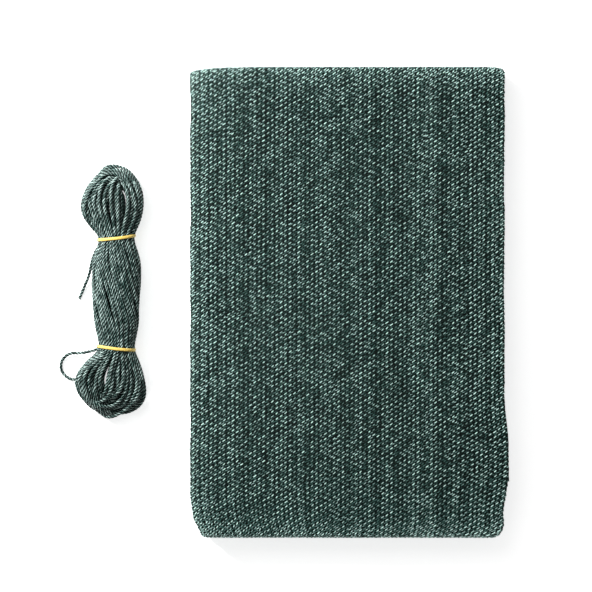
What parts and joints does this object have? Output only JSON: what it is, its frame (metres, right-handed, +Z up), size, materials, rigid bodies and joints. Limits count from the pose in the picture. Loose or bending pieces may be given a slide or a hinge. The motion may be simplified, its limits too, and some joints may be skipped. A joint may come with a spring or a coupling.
{
  "type": "folded knitted net with tie cord",
  "caption": "Knitted mesh net folded into a flat pack of hinged leaves, with a hank of tie cord held by elastic bands beside it.",
  "frame": {"origin": "middle of the underside of the folded net, where it rests; the hank beside it isn't counted", "axes": "+Y along the pack's long side towards its closed folded end, +X across the pack away from the hank, +Z up"},
  "size_m": [0.352, 0.3664, 0.034],
  "materials": {
    "knitted_mesh": "dark green knitted polyethylene tape, satin flecks",
    "tie_cord": "twisted green and black polypropylene cord",
    "elastic_band": "pale yellow natural rubber, smooth"
  },
  "bodies": {
    "net_base": {"net_leaf_1": "knitted_mesh", "net_leaf_2": "knitted_mesh"},
    "net_leaf_3_body": {"net_leaf_3": "knitted_mesh"},
    "net_leaf_4_body": {"net_leaf_4": "knitted_mesh"},
    "net_leaf_5_body": {"net_leaf_5": "knitted_mesh"},
    "net_leaf_6_body": {"net_leaf_6": "knitted_mesh"},
    "net_leaf_7_body": {"net_leaf_7": "knitted_mesh"},
    "hank": {"cord_hank": "tie_cord", "cord_tail": "tie_cord", "cord_side_loop": "tie_cord", "upper_elastic_band": "elastic_band", "lower_elastic_band": "elastic_band"}
  },
  "joints": [
    {"name": "unfold_2_3", "type": "hinge", "parent": "net_base", "child": "net_leaf_3_body", "pos_m": [-0.00235, -0.18355, 0.00965], "axis": [1, 0, 0], "range_deg": [0, 178]},
    {"name": "unfold_3_4", "type": "hinge", "parent": "net_leaf_3_body", "child": "net_leaf_4_body", "pos_m": [-0.00235, 0.18355, 0.01455], "axis": [-1, 0, 0], "range_deg": [0, 178]},
    {"name": "unfold_4_5", "type": "hinge", "parent": "net_leaf_4_body", "child": "net_leaf_5_body", "pos_m": [-0.00235, -0.18355, 0.01945], "axis": [1, 0, 0], "range_deg": [0, 178]},
    {"name": "unfold_5_6", "type": "hinge", "parent": "net_leaf_5_body", "child": "net_leaf_6_body", "pos_m": [-0.00235, 0.18355, 0.02435], "axis": [-1, 0, 0], "range_deg": [0, 178]},
    {"name": "open_top_leaf", "type": "hinge", "parent": "net_leaf_6_body", "child": "net_leaf_7_body", "pos_m": [-0.00235, -0.18355, 0.02925], "axis": [1, 0, 0], "range_deg": [0, 178]},
    {"name": "hank_lift", "type": "slide", "parent": "net_base", "child": "hank", "axis": [0, 0, 1], "range_m": [0, 0.12]}
  ],
  "couplings": [
    {"joint": "unfold_3_4", "follows": "unfold_2_3", "ratio": 1},
    {"joint": "unfold_4_5", "follows": "unfold_2_3", "ratio": 1},
    {"joint": "unfold_5_6", "follows": "unfold_2_3", "ratio": 1}
  ]
}
